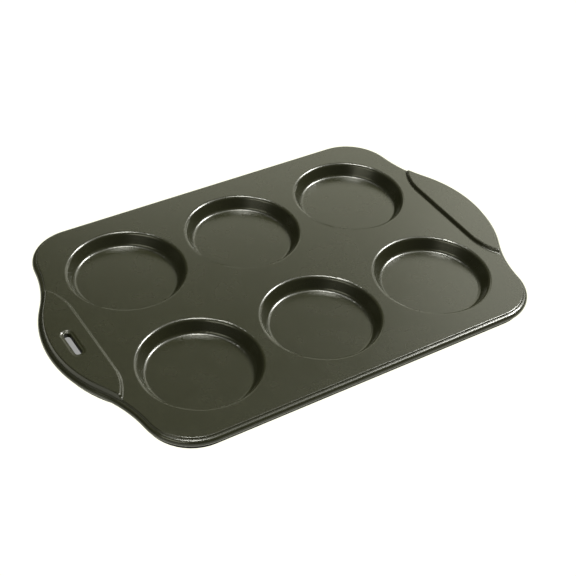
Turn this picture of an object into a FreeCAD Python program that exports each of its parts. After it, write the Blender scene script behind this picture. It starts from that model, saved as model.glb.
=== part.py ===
import FreeCAD, Part
import math
import os

# Hamburger bun pan: one sheet of coated steel, pressed into six shallow round cups
# and two raised handles, with a rolled rim all round and a hanging slot in one handle.
# Millimetres, +Z up, origin under the middle of the pan on the plane it stands on.

sheet = 0.7                   # thickness of the steel

# Cups
cup_columns = 3
cup_rows = 2
mouth_diameter = 101.6
cup_depth = 11.0
wall_lean = 5.9               # how far the wall comes in from the mouth to the floor
mouth_radius = 3.6            # deck to cup wall
floor_radius = 4.0            # cup wall to floor

# Deck left round the cups
column_gap = 14.0
row_gap = 27.8
end_margin = 18.0             # from a cup to the outside of the rim at a corner's end
side_margin = 25.3            # from a cup to the outside of the rim at the front or back

# Outline, made of tangent arcs and two straight sides
handle_reach = 31.5           # how far each handle goes past the corners
corner_radius = 43.0
handle_radius = 108.0         # the bow of each handle
waist_radius = 110.0          # hollow between a corner and a handle

# Rolled rim
bead_diameter = 6.0
bead_drop = 1.3               # from the deck down to the top of the bead
bead_turn = 290.0             # degrees that the sheet is rolled round
edge_radius = 1.2             # deck to rim wall
groove_radius = 0.5           # rim wall to bead
wall_slope = 72.0             # degrees from level

# Raised handles
handle_rise = 2.8
step_inset = 6.4              # from a corner's end to the middle of the step
step_run = 3.6                # width of each step, seen from above
step_straight = 80.0          # straight middle part of each step
step_bend = 52.0              # radius that turns its ends outwards

# Hanging slot: a shallow pressed border, and the edge turned down inside it
slot_length = 26.0
slot_width = 5.4
slot_corner = 2.2
slot_inset = 20.6             # from the end of the handle to the middle of the slot
slot_lip = 5.0                # depth of the turned edge
slot_radius = 1.1             # bend of the turned edge
border_width = 3.0            # from the slot to the outside of the border
border_depth = 0.7
border_slope = 30             # degrees
border_radius = 1.5           # bends at the top and foot of the border

UP = FreeCAD.Vector(0, 0, 1)
margin = 5.0                  # how far the trimming solids reach past what they cut
column_pitch = mouth_diameter + column_gap
row_pitch = mouth_diameter + row_gap
body_length = (cup_columns - 1) * column_pitch + mouth_diameter + 2 * end_margin
pan_length = body_length + 2 * handle_reach
pan_width = (cup_rows - 1) * row_pitch + mouth_diameter + 2 * side_margin
step_spacing = body_length - 2 * step_inset
bead_radius = bead_diameter / 2
stand_height = max(cup_depth + sheet, bead_drop + bead_diameter)


def point(x, y, z=0.0):
    return FreeCAD.Vector(x, y, z)


def ray(degrees, distance=1.0):
    angle = math.radians(degrees)
    return point(distance * math.cos(angle), distance * math.sin(angle))


# Profiles lie in the XZ plane. A path is a list of (x, z, radius) corners running
# towards +X, and the metal lies on its right-hand side.

def rounded(path):
    """Edges through the corners of a path, each corner turned by a tangent arc."""
    edges = []
    pen = point(path[0][0], 0, path[0][1])
    for before, corner, after in zip(path, path[1:], path[2:]):
        tip = point(corner[0], 0, corner[1])
        back = (point(before[0], 0, before[1]) - tip).normalize()
        ahead = (point(after[0], 0, after[1]) - tip).normalize()
        turn = math.pi - back.getAngle(ahead)
        start = tip + back * corner[2] * math.tan(turn / 2)
        end = tip + ahead * corner[2] * math.tan(turn / 2)
        middle = (back + ahead).normalize()
        crown = tip + middle * corner[2] * (1 / math.cos(turn / 2) - 1)
        if (start - pen).Length > 1e-6:
            edges.append(Part.makeLine(pen, start))
        edges.append(Part.Arc(start, crown, end).toShape())
        pen = end
    last = point(path[-1][0], 0, path[-1][1])
    if (last - pen).Length > 1e-6:
        edges.append(Part.makeLine(pen, last))
    return edges


def lowered(path, depth):
    """The same path on the face that lies a given depth inside the metal."""
    headings = [math.atan2(b[1] - a[1], b[0] - a[0]) for a, b in zip(path, path[1:])]
    arriving = [headings[0]] + headings
    leaving = headings + [headings[-1]]
    result = []
    for (x, z, radius), first, second in zip(path, arriving, leaving):
        half = (second - first) / 2
        mean = (first + second) / 2
        reach = depth / math.cos(half)
        shift = depth if half > 0 else -depth
        result.append((x + reach * math.sin(mean), z - reach * math.cos(mean),
                       radius + shift if radius else 0.0))
    return result


def closed_face(edges, corners):
    """A face bounded by the edges of a path and then by straight lines past the corners."""
    ends = [edges[-1].Vertexes[-1].Point] + [point(x, 0, z) for x, z in corners]
    ends.append(edges[0].Vertexes[0].Point)
    sides = [Part.makeLine(a, b) for a, b in zip(ends, ends[1:])]
    return Part.Face(Part.Wire(edges + sides))


def sheet_face(path):
    """Section of the sheet whose upper face follows a path."""
    above = rounded(path)
    below = rounded(lowered(path, sheet))
    caps = [Part.makeLine(above[0].Vertexes[0].Point, below[0].Vertexes[0].Point),
            Part.makeLine(above[-1].Vertexes[-1].Point, below[-1].Vertexes[-1].Point)]
    return Part.Face(Part.Wire(Part.__sortEdges__(above + below + caps)))


# A track is a list of (start, heading of local +X, sweep) steps seen from above.

def straight(start, end):
    along = end - start
    heading = math.degrees(math.atan2(along.y, along.x)) + 90
    return start, heading, lambda face: face.extrude(along)


def bend(centre, radius, start, turn, hollow=False):
    heading = start if hollow else start + 180
    return centre + ray(start, radius), heading, lambda face: face.revolve(centre, UP, turn)


def swept(face, track):
    """A section carried along a track, one exact piece for each step."""
    pieces = []
    for start, heading, move in track:
        section = face.copy()
        section.Placement = FreeCAD.Placement(start, FreeCAD.Rotation(UP, heading))
        pieces.append(move(section))
    return pieces[0].multiFuse(pieces[1:]).removeSplitter()


def track_face(track, offset):
    """The area inside a closed track, drawn in by an offset."""
    tip = Part.makeLine(point(offset, 0, 0), point(offset, 0, 1))
    edges = []
    for start, heading, move in track:
        stroke = tip.copy()
        stroke.Placement = FreeCAD.Placement(start, FreeCAD.Rotation(UP, heading))
        edges += [e for e in move(stroke).Edges if abs(e.BoundBox.ZMax) < 1e-6]
    return Part.Face(Part.Wire(Part.__sortEdges__(edges)))


def outline_track():
    """Outer edge of the bead, anticlockwise from the right-hand handle."""
    corner = point(body_length / 2 - corner_radius, pan_width / 2 - corner_radius)
    bow = point(pan_length / 2 - handle_radius, 0)
    # The waist arc touches both the bow and the corner from outside
    gap = corner - bow
    bow_reach = handle_radius + waist_radius
    corner_reach = corner_radius + waist_radius
    along = (bow_reach ** 2 - corner_reach ** 2 + gap.Length ** 2) / (2 * gap.Length)
    across = math.sqrt(bow_reach ** 2 - along ** 2)
    waist = bow + gap.normalize() * along + point(gap.y, -gap.x) * across
    bow_angle = math.degrees(math.atan2(waist.y, waist.x - bow.x))
    corner_angle = math.degrees(math.atan2(waist.y - corner.y, waist.x - corner.x))
    waist_turn = corner_angle - bow_angle
    corner_turn = 90 - corner_angle
    track = []
    for side, base in ((1, 0), (-1, 180)):
        far_waist = point(side * waist.x, side * waist.y)
        far_corner = point(side * corner.x, side * corner.y)
        near_corner = point(-side * corner.x, side * corner.y)
        near_waist = point(-side * waist.x, side * waist.y)
        edge = side * pan_width / 2
        track += [
            bend(point(side * bow.x, 0), handle_radius, base - bow_angle, 2 * bow_angle),
            bend(far_waist, waist_radius, base + 180 + bow_angle, waist_turn, hollow=True),
            bend(far_corner, corner_radius, base + corner_angle, corner_turn),
            straight(point(far_corner.x, edge), point(near_corner.x, edge)),
            bend(near_corner, corner_radius, base + 90, corner_turn),
            bend(near_waist, waist_radius, base - corner_angle, waist_turn, hollow=True),
        ]
    return track


def handle_block(depth):
    """What is raised at the right-hand handle, with its step rounded at top and foot."""
    tangent = (step_run ** 2 + handle_rise ** 2) / (4 * step_run)
    radius = (step_run ** 2 + handle_rise ** 2) / (4 * handle_rise)
    floor = -bead_drop - sheet - margin
    path = lowered([
        (-step_bend, handle_rise, 0),
        (tangent - step_run / 2, handle_rise, radius),
        (step_run / 2 - tangent, 0, radius),
        (step_run / 2 + sheet, 0, 0),
    ], depth)
    section = closed_face(rounded(path), [(path[-1][0], floor), (-step_bend, floor)])
    step = step_spacing / 2
    half = step_straight / 2
    centre_x = step + step_bend
    track = [
        bend(point(centre_x, -half), step_bend, 270, -90, hollow=True),
        straight(point(step, -half), point(step, half)),
        bend(point(centre_x, half), step_bend, 180, -90, hollow=True),
    ]
    height = handle_rise - depth - floor
    reach = half + step_bend
    rest = Part.makeBox(pan_length, 2 * reach, height, point(centre_x, -reach, floor))
    return swept(section, track).fuse(rest).removeSplitter()


def rim_trim(depth, foot):
    """What is cut away outside the rim wall and above the top of the bead."""
    tangent = groove_radius * math.tan(math.radians(wall_slope / 2))
    top = handle_rise + margin
    run = (top + bead_drop) / math.tan(math.radians(wall_slope))
    path = lowered([
        (bead_radius, -bead_drop, 0),
        (bead_radius + tangent, -bead_drop, groove_radius),
        (bead_radius + tangent + run, top, 0),
    ], depth)
    return closed_face(rounded(path), [(-margin, path[-1][1])] + foot(path[0][1]))


def pressed(depth, foot, bottom, outline):
    """Solid under the face that lies a given depth inside the sheet."""
    area = track_face(outline, 0)
    deck = area.extrude(UP * (-depth - bottom))
    deck.translate(UP * bottom)
    core = area.extrude(UP * (handle_rise + margin - bottom))
    core.translate(UP * bottom)
    right = handle_block(depth).common(core)
    left = right.mirror(point(0, 0), point(1, 0))
    body = deck.multiFuse([right, left]).removeSplitter()
    body = body.cut(swept(rim_trim(depth, foot), outline)).removeSplitter()
    edge = Part.Wire(Part.__sortEdges__(area.Edges))
    brink = [e for e in body.Edges if on_brink(e, edge, depth)]
    return body.makeFillet(edge_radius - depth, brink)


def on_brink(edge, outline, depth):
    """True for an edge between the top face and the rim wall."""
    near = edge_radius + bead_diameter
    for where in (edge.FirstParameter, (edge.FirstParameter + edge.LastParameter) / 2, edge.LastParameter):
        spot = edge.valueAt(where)
        if spot.z < -depth - 1e-6:
            return False
        if Part.Vertex(spot.x, spot.y, 0).distToShape(outline)[0] > near:
            return False
    return True


def plate(outline):
    """Deck, handles and rim wall, as far as the top of the bead."""
    low = -bead_drop - sheet - margin
    upper = pressed(0.0, lambda z: [(-margin, low), (bead_radius, low)], low + 1, outline)
    lower = pressed(sheet, lambda z: [(-margin, z)], low, outline)
    return upper.cut(lower)


def bead(outline):
    """The rolled edge, open where the sheet runs out."""
    middle = -bead_drop - bead_radius

    def turned(radius, degrees):
        angle = math.radians(degrees)
        return point(bead_radius - radius * math.sin(angle), 0, middle + radius * math.cos(angle))

    inner = bead_radius - sheet
    edges = [
        Part.Arc(*[turned(bead_radius, bead_turn * f) for f in (0, 0.5, 1)]).toShape(),
        Part.makeLine(turned(bead_radius, bead_turn), turned(inner, bead_turn)),
        Part.Arc(*[turned(inner, bead_turn * f) for f in (1, 0.5, 0)]).toShape(),
        Part.makeLine(turned(inner, 0), turned(bead_radius, 0)),
    ]
    return swept(Part.Face(Part.Wire(edges)), outline)


def cup():
    """One cup round the Z axis, and the radius at which it meets the flat deck."""
    mouth = mouth_diameter / 2
    floor = mouth - wall_lean
    slope = math.atan2(cup_depth, wall_lean)
    lip = mouth + mouth_radius * math.tan(slope / 2)
    path = [(0, -cup_depth, 0), (floor, -cup_depth, floor_radius), (mouth, 0, mouth_radius), (lip, 0, 0)]
    return sheet_face(path).revolve(point(0, 0), UP, 360), lip


def slot_track():
    """Wall of the hanging slot, anticlockwise, with local +X leading away from the slot."""
    x = slot_width / 2 - slot_corner
    y = slot_length / 2 - slot_corner
    track = []
    for turn, (cx, cy) in enumerate(((x, y), (-x, y), (-x, -y), (x, -y))):
        angle = 90 * turn
        track.append(bend(point(cx, cy), slot_corner, angle, 90, hollow=True))
        start = point(cx, cy) + ray(angle + 90, slot_corner)
        length = 2 * (x if turn % 2 == 0 else y)
        end = start + ray(angle + 180, length)
        track.append(straight(end, start))
    return track


def slot_centre():
    return point(slot_inset - pan_length / 2, 0, handle_rise)


def slot_lip_ring():
    """The turned edge and border of the slot, and the hole that they take in the handle."""
    track = slot_track()
    slope = math.radians(border_slope)
    brink = border_width + border_radius * math.tan(slope / 2)
    path = [
        (0, -slot_lip, 0),
        (0, -border_depth, slot_radius),
        (border_width - border_depth / math.tan(slope), -border_depth, border_radius),
        (border_width, 0, border_radius),
        (brink, 0, 0),
    ]
    ring = swept(sheet_face(path), track)
    hole = track_face(track, brink).extrude(UP * -2 * sheet)
    hole.translate(UP * sheet)
    ring.translate(slot_centre())
    hole.translate(slot_centre())
    return ring, hole


def bun_pan():
    outline = outline_track()
    pan = plate(outline)
    dish, lip = cup()
    hole = Part.makeCylinder(lip, 2 * sheet, point(0, 0, -1.5 * sheet))
    places = [point((i - (cup_columns - 1) / 2) * column_pitch, (j - (cup_rows - 1) / 2) * row_pitch)
              for i in range(cup_columns) for j in range(cup_rows)]
    ring, opening = slot_lip_ring()
    pan = pan.cut([moved(hole, place) for place in places] + [opening])
    pan = pan.multiFuse([moved(dish, place) for place in places] + [ring, bead(outline)])
    pan = pan.removeSplitter()
    pan.translate(UP * stand_height)
    return pan


def moved(shape, place):
    copy = shape.copy()
    copy.translate(place)
    return copy


os.makedirs("parts", exist_ok=True)
pan = bun_pan()
print("bun_pan", pan.ShapeType, len(pan.Solids), pan.isValid(), round(pan.Volume), pan.BoundBox)
pan.exportStep("parts/bun_pan.step")
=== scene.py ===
import math

import bpy
from mathutils import Matrix, Vector

MM = 0.001

# Coating: linear colours of the darkest and lightest grain, and noise cells per metre
COATING_DARK = (0.0065, 0.0068, 0.0030, 1)
COATING_LIGHT = (0.0165, 0.0170, 0.0075, 1)
GRAIN_SCALE = 650.0
CLOUD_SCALE = 45.0
ROUGHNESS = 0.27
ROUGHNESS_RANGE = 0.04
GRAIN_HEIGHT = 0.02 * MM
GRAIN_STRENGTH = 0.12

# Floor, so wide in metres that its edge seldom shows, and the sheets on it, each above the one before
FLOOR_SIZE = 36
FLOOR_BRIGHTNESS = 1.2
FLOOR_COLOUR = (1, 1, 0.84)
SHEET_COLOUR = (1, 1, 0.97)
SHADE_BRIGHTNESS = 0.01
SHEET_STEP = 0.05 * MM
DECK_SHADE_SIZE = (361 * MM, 274 * MM)
DECK_SHADE_CORNER = 39 * MM
HANDLE_SHADE_RADIUS = 104 * MM
HANDLE_SHADE_CENTRE = 107.9 * MM
SLOT_LIGHT_SIZE = (18 * MM, 44 * MM)
SLOT_LIGHT_CENTRE = (-186 * MM, 11 * MM)
SLOT_LIGHT_BRIGHTNESS = 0.35

WORLD_BRIGHTNESS = 0.05

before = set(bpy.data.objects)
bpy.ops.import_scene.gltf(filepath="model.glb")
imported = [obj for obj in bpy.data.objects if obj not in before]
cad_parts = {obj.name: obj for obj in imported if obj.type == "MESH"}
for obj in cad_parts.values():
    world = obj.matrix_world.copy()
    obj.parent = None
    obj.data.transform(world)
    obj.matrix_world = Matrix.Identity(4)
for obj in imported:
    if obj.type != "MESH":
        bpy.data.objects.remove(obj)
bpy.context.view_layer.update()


class Value:
    """A socket of a material's node tree, with Math nodes for its operators."""

    def __init__(self, paint, socket):
        self.paint = paint
        self.socket = socket

    def math(self, operation, *others):
        return self.paint.node("ShaderNodeMath", {"operation": operation}, self, *others)

    def __add__(self, other):
        return self.math("ADD", other)

    def __sub__(self, other):
        return self.math("SUBTRACT", other)

    def __rsub__(self, other):
        return self.paint.node("ShaderNodeMath", {"operation": "SUBTRACT"}, other, self)

    def __mul__(self, other):
        return self.math("MULTIPLY", other)

    __radd__ = __add__
    __rmul__ = __mul__


class Paint:
    """A new material, its Principled shader and the nodes added to it."""

    def __init__(self, name):
        self.material = bpy.data.materials.new(name)
        self.material.use_nodes = True
        self.tree = self.material.node_tree
        self.shader = self.tree.nodes["Principled BSDF"]

    def set(self, **values):
        for name, value in values.items():
            self.connect(self.shader.inputs[name.replace("_", " ")], value)

    def connect(self, socket, value):
        if isinstance(value, Value):
            self.tree.links.new(value.socket, socket)
        else:
            socket.default_value = value

    def node(self, kind, settings, *inputs, output=0, **named):
        """Adds a node. An input of None leaves that socket as it is."""
        node = self.tree.nodes.new(kind)
        for name, value in settings.items():
            setattr(node, name, value)
        for socket, value in zip(node.inputs, inputs):
            if value is not None:
                self.connect(socket, value)
        for name, value in named.items():
            self.connect(node.inputs[name.replace("_", " ")], value)
        return Value(self, node.outputs[output])

    def blend(self, amount, low, high):
        """A colour between low and high. Five sockets for other kinds of value are passed over."""
        other_kinds = [None] * 5
        return self.node("ShaderNodeMix", {"data_type": "RGBA"}, amount, *other_kinds, low, high, output=2)


def coated_steel():
    """Dark olive non-stick coating, half gloss, very slightly uneven in tint, gloss and level."""
    paint = Paint("coated_steel")
    place = paint.node("ShaderNodeTexCoord", {}, output=3)
    grain = paint.node("ShaderNodeTexNoise", {}, Vector=place, Scale=GRAIN_SCALE, Detail=2.0)
    clouds = paint.node("ShaderNodeTexNoise", {}, Vector=place, Scale=CLOUD_SCALE, Detail=2.0)
    relief = paint.node("ShaderNodeBump", {}, Strength=GRAIN_STRENGTH, Distance=GRAIN_HEIGHT, Height=grain)
    paint.set(Base_Color=paint.blend(grain, COATING_DARK, COATING_LIGHT))
    paint.set(Roughness=(clouds - 0.5) * ROUGHNESS_RANGE + ROUGHNESS)
    paint.set(Normal=relief)
    return paint.material


def direction(azimuth, elevation):
    """The unit vector at an azimuth from +X towards +Y and a height above the floor, in degrees."""
    turn = math.radians(azimuth)
    rise = math.radians(elevation)
    return Vector((math.cos(turn) * math.cos(rise), math.sin(turn) * math.cos(rise), math.sin(rise)))


def camera():
    """The photograph's view: a long lens, from the front left and well above."""
    roll = math.radians(4.6854)
    distance = 1052.62 * MM
    target = Vector((-6.21, -21.89, 12.0)) * MM
    back = direction(-125.1953, 40.7121)
    level = Vector((0, 0, 1)).cross(back).normalized()
    right = Matrix.Rotation(roll, 3, back) @ level
    up = back.cross(right)
    turn = Matrix((right, up, back)).transposed()
    data = bpy.data.cameras.new("camera")
    data.sensor_width = 36
    data.lens = 77.148
    data.clip_start = 0.05
    data.clip_end = 20
    made = bpy.data.objects.new("camera", data)
    made.matrix_world = Matrix.Translation(target + back * distance) @ turn.to_4x4()
    bpy.context.scene.collection.objects.link(made)
    bpy.context.scene.camera = made


def softbox(name, azimuth, elevation, distance, size, power, colour):
    """A rectangular light that faces the middle of the pan, its width level."""
    away = direction(azimuth, elevation)
    data = bpy.data.lights.new(name, "AREA")
    data.shape = "RECTANGLE"
    data.size, data.size_y = size
    data.energy = power
    data.color = colour
    made = bpy.data.objects.new(name, data)
    made.location = away * distance
    made.rotation_euler = away.to_track_quat("Z", "Y").to_euler()
    bpy.context.scene.collection.objects.link(made)


def shining(made, name, brightness, colour=SHEET_COLOUR):
    """Names a flat piece and gives it a material that shines evenly and mirrors nothing, so no hard shadow
    falls on it.
    """
    made.name = name
    paint = Paint(name)
    paint.set(Base_Color=(0, 0, 0, 1), Roughness=1.0, Specular_IOR_Level=0.0)
    paint.set(Emission_Color=(*colour, 1), Emission_Strength=brightness)
    made.data.materials.append(paint.material)


def flat_rectangle(size, centre, height):
    """A level rectangle, given by its size and centre along X and Y."""
    bpy.ops.mesh.primitive_plane_add(size=1, location=(0, 0, 0))
    made = bpy.context.object
    made.data.transform(Matrix.Diagonal((*size, 1, 1)))
    made.data.transform(Matrix.Translation((*centre, height)))
    return made


def deck_shade():
    """The shade under the deck, with rounded corners inside those of the pan."""
    deck = flat_rectangle(DECK_SHADE_SIZE, (0, 0), SHEET_STEP)
    bpy.ops.object.mode_set(mode="EDIT")
    bpy.ops.mesh.select_all(action="SELECT")
    bpy.ops.mesh.bevel(affect="VERTICES", offset=DECK_SHADE_CORNER, segments=12, profile=0.5)
    bpy.ops.object.mode_set(mode="OBJECT")
    shining(deck, "deck_shade", SHADE_BRIGHTNESS)


def handle_shade(side):
    """The shade under one handle: a disc that follows the handle's bow."""
    bpy.ops.mesh.primitive_circle_add(radius=HANDLE_SHADE_RADIUS, vertices=96, fill_type="NGON",
                                      location=(0, 0, 0))
    handle = bpy.context.object
    handle.data.transform(Matrix.Translation((side * HANDLE_SHADE_CENTRE, 0, 2 * SHEET_STEP)))
    shining(handle, "handle_shade", SHADE_BRIGHTNESS)


def floor():
    """A pale floor, the pan's shade on it, and the light that falls through the slot."""
    bpy.ops.object.select_all(action="DESELECT")
    bpy.ops.mesh.primitive_plane_add(size=FLOOR_SIZE, location=(0, 0, 0))
    shining(bpy.context.object, "floor", FLOOR_BRIGHTNESS, FLOOR_COLOUR)
    deck_shade()
    for side in (-1, 1):
        handle_shade(side)
    patch = flat_rectangle(SLOT_LIGHT_SIZE, SLOT_LIGHT_CENTRE, 3 * SHEET_STEP)
    shining(patch, "slot_light", SLOT_LIGHT_BRIGHTNESS)


def studio():
    """Soft boxes: two far ones give the bright lines, the nearer ones the sheen of flats and walls."""
    scene = bpy.context.scene
    scene.view_settings.view_transform = "Standard"
    world = bpy.data.worlds.new("studio")
    world.use_nodes = True
    background = world.node_tree.nodes["Background"]
    background.inputs["Color"].default_value = (1, 1, 1, 1)
    background.inputs["Strength"].default_value = WORLD_BRIGHTNESS
    scene.world = world
    softbox("key", 3, 48, distance=4.0, size=(1.2, 0.7), power=320, colour=(1, 1, 0.93))
    softbox("overhead", 60, 82, distance=5.0, size=(0.9, 0.5), power=215, colour=(1, 1, 0.9))
    softbox("low", 28, 6, distance=2.0, size=(1.2, 0.4), power=5, colour=(1, 1, 0.85))
    softbox("backdrop", 55, 29, distance=2.0, size=(1.4, 0.5), power=5.0, colour=(1, 1, 0.82))
    softbox("backdrop_right", 27, 37, distance=2.0, size=(0.9, 0.5), power=3.0, colour=(1, 1, 0.85))
    softbox("fill", 207, 35, distance=2.0, size=(1.3, 0.6), power=13, colour=(1, 1, 0.75))


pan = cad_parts["bun_pan"]
for slot in pan.material_slots:
    slot.material = coated_steel()
camera()
floor()
studio()
